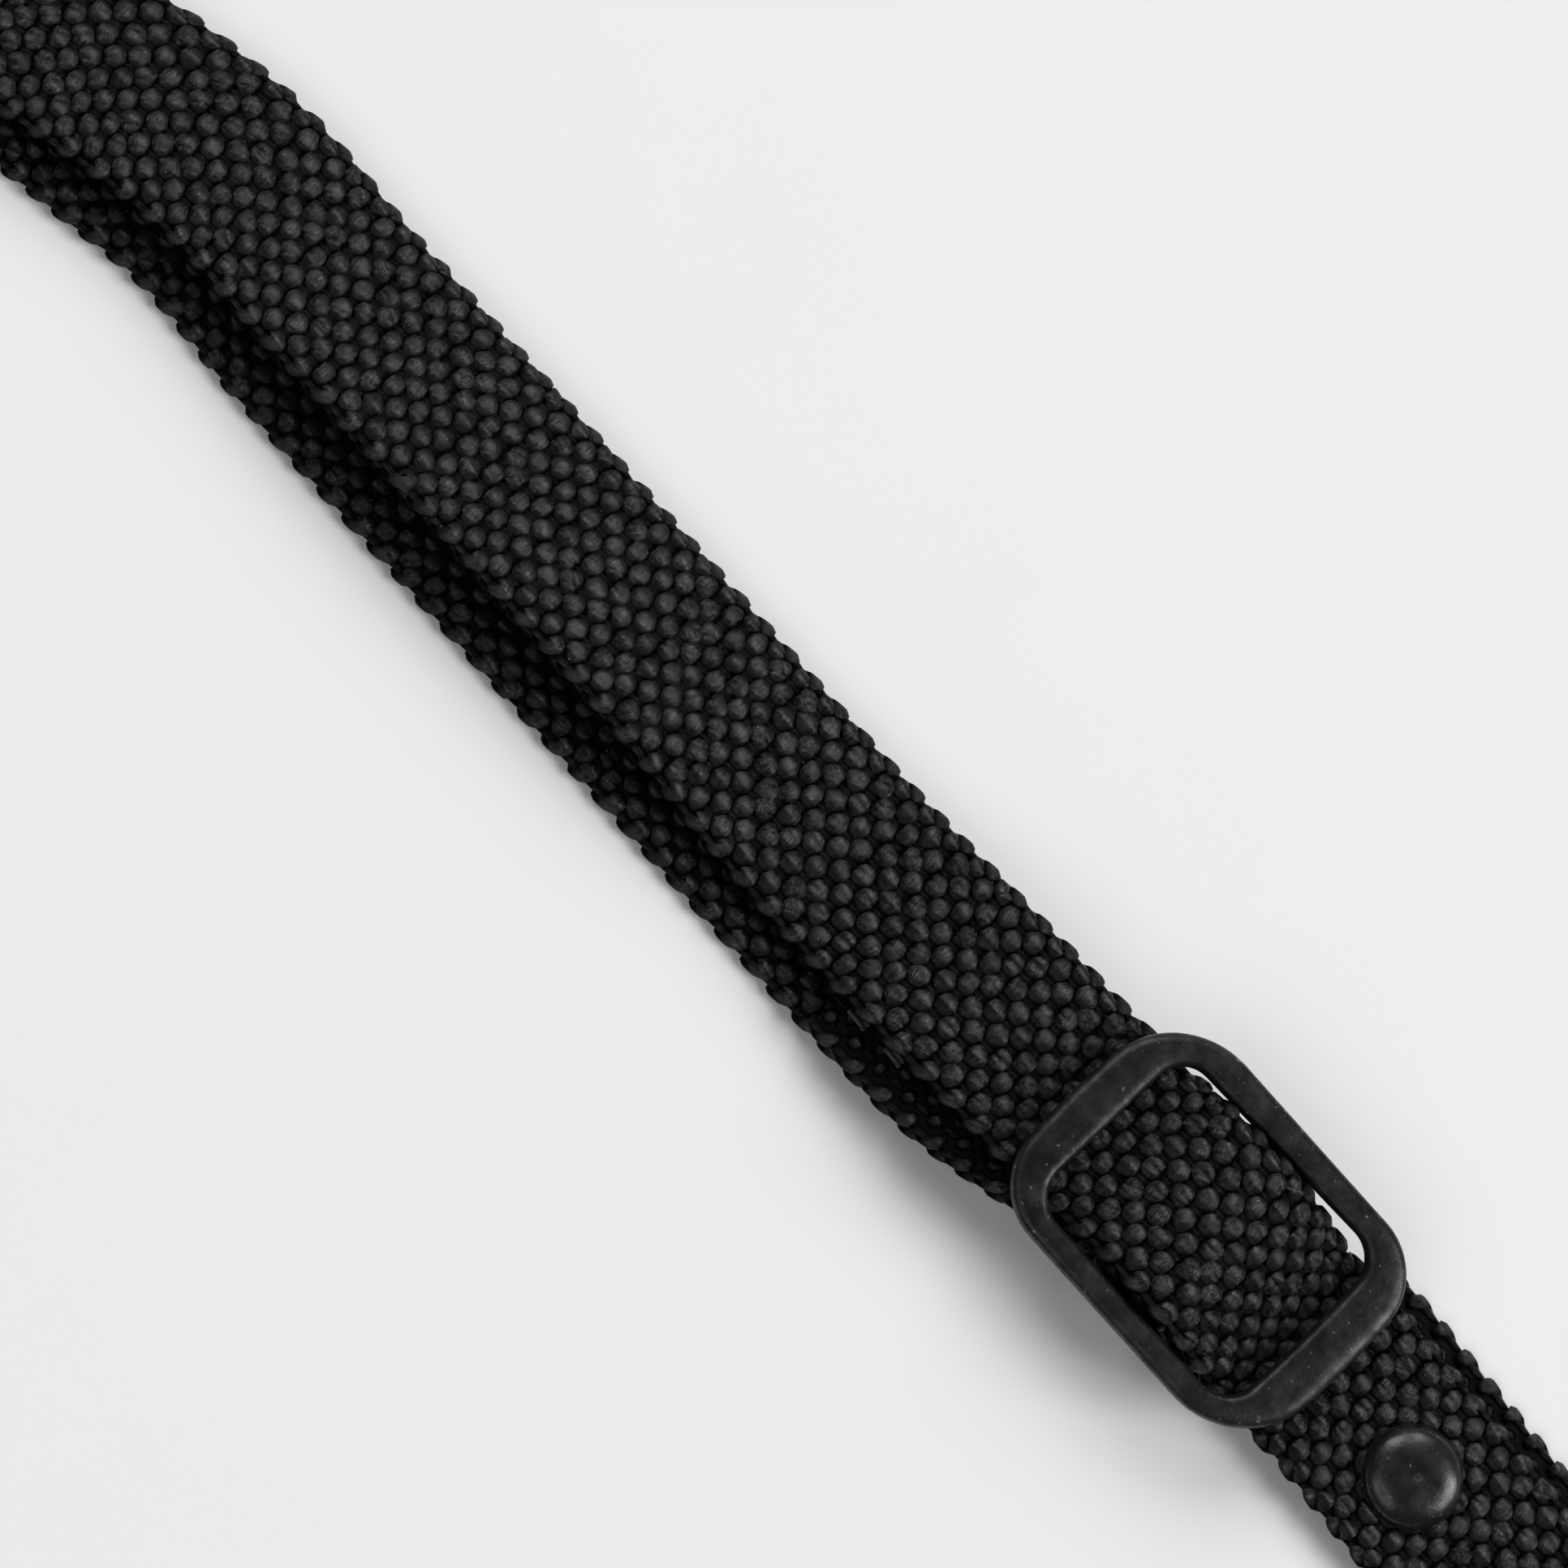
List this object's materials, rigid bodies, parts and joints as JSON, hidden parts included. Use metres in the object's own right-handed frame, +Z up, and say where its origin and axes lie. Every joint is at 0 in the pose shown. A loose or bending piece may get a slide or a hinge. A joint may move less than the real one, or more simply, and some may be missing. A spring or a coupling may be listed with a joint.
{
  "type": "guitar strap",
  "caption": "Adjustable guitar strap of narrow heavy webbing with a one-piece slide, a riveted end, a ring and two leather ends with button holes, laid as a hairpin.",
  "frame": {"origin": "on the floor under the slide's centre bar, on the flat underside of the webbing", "axes": "+X along the straight leg from the slide towards the riveted end and tab A, +Z up from the floor"},
  "size_m": [0.4289, 0.167, 0.0208],
  "materials": {
    "webbing": "heavy plain-weave black webbing, matte with a soft filament sheen",
    "thread": "black bonded sewing thread",
    "slide_paint": "semi-matte black paint, worn grey at the edges",
    "rivet_paint": "satin black enamel",
    "leather": "black smooth leather, semi-matte, fine grain",
    "lining": "black suede lining"
  },
  "bodies": {
    "webbing": {"webbing_end": "webbing", "webbing_upper": "webbing", "webbing_lower": "webbing", "webbing_far": "webbing", "end_rivet_cap": "rivet_paint", "end_rivet_post": "rivet_paint"},
    "slider": {"slide_frame": "slide_paint", "loop_tack_1": "thread", "loop_tack_2": "thread"},
    "tab_a": {"tab_a_leather": "leather", "tab_a_lining": "lining"},
    "ring_link": {"ring": "slide_paint"},
    "tab_b": {"tab_b_leather": "leather", "tab_b_lining": "lining", "tab_b_rivet_cap_1": "rivet_paint", "tab_b_rivet_cap_2": "rivet_paint", "tab_b_rivet_post_1": "rivet_paint", "tab_b_rivet_post_2": "rivet_paint"}
  },
  "joints": [
    {"name": "slide_travel", "type": "slide", "parent": "webbing", "child": "slider", "axis": [-1, 0, 0], "range_m": [-0.006, 0.024], "deforming": ["webbing_upper", "webbing_lower"]},
    {"name": "tab_a_swing", "type": "hinge", "parent": "webbing", "child": "tab_a", "pos_m": [0.066, -0.004, 0.0049], "axis": [0, -1, 0], "range_deg": [0, 90]},
    {"name": "ring_swing", "type": "hinge", "parent": "webbing", "child": "ring_link", "pos_m": [0.064, -0.14086, 0.0036], "axis": [0, -1, 0], "range_deg": [0, 90]},
    {"name": "tab_b_swing", "type": "hinge", "parent": "ring_link", "child": "tab_b", "pos_m": [0.08, -0.14086, 0.0036], "axis": [0, -1, 0], "range_deg": [0, 90]}
  ]
}
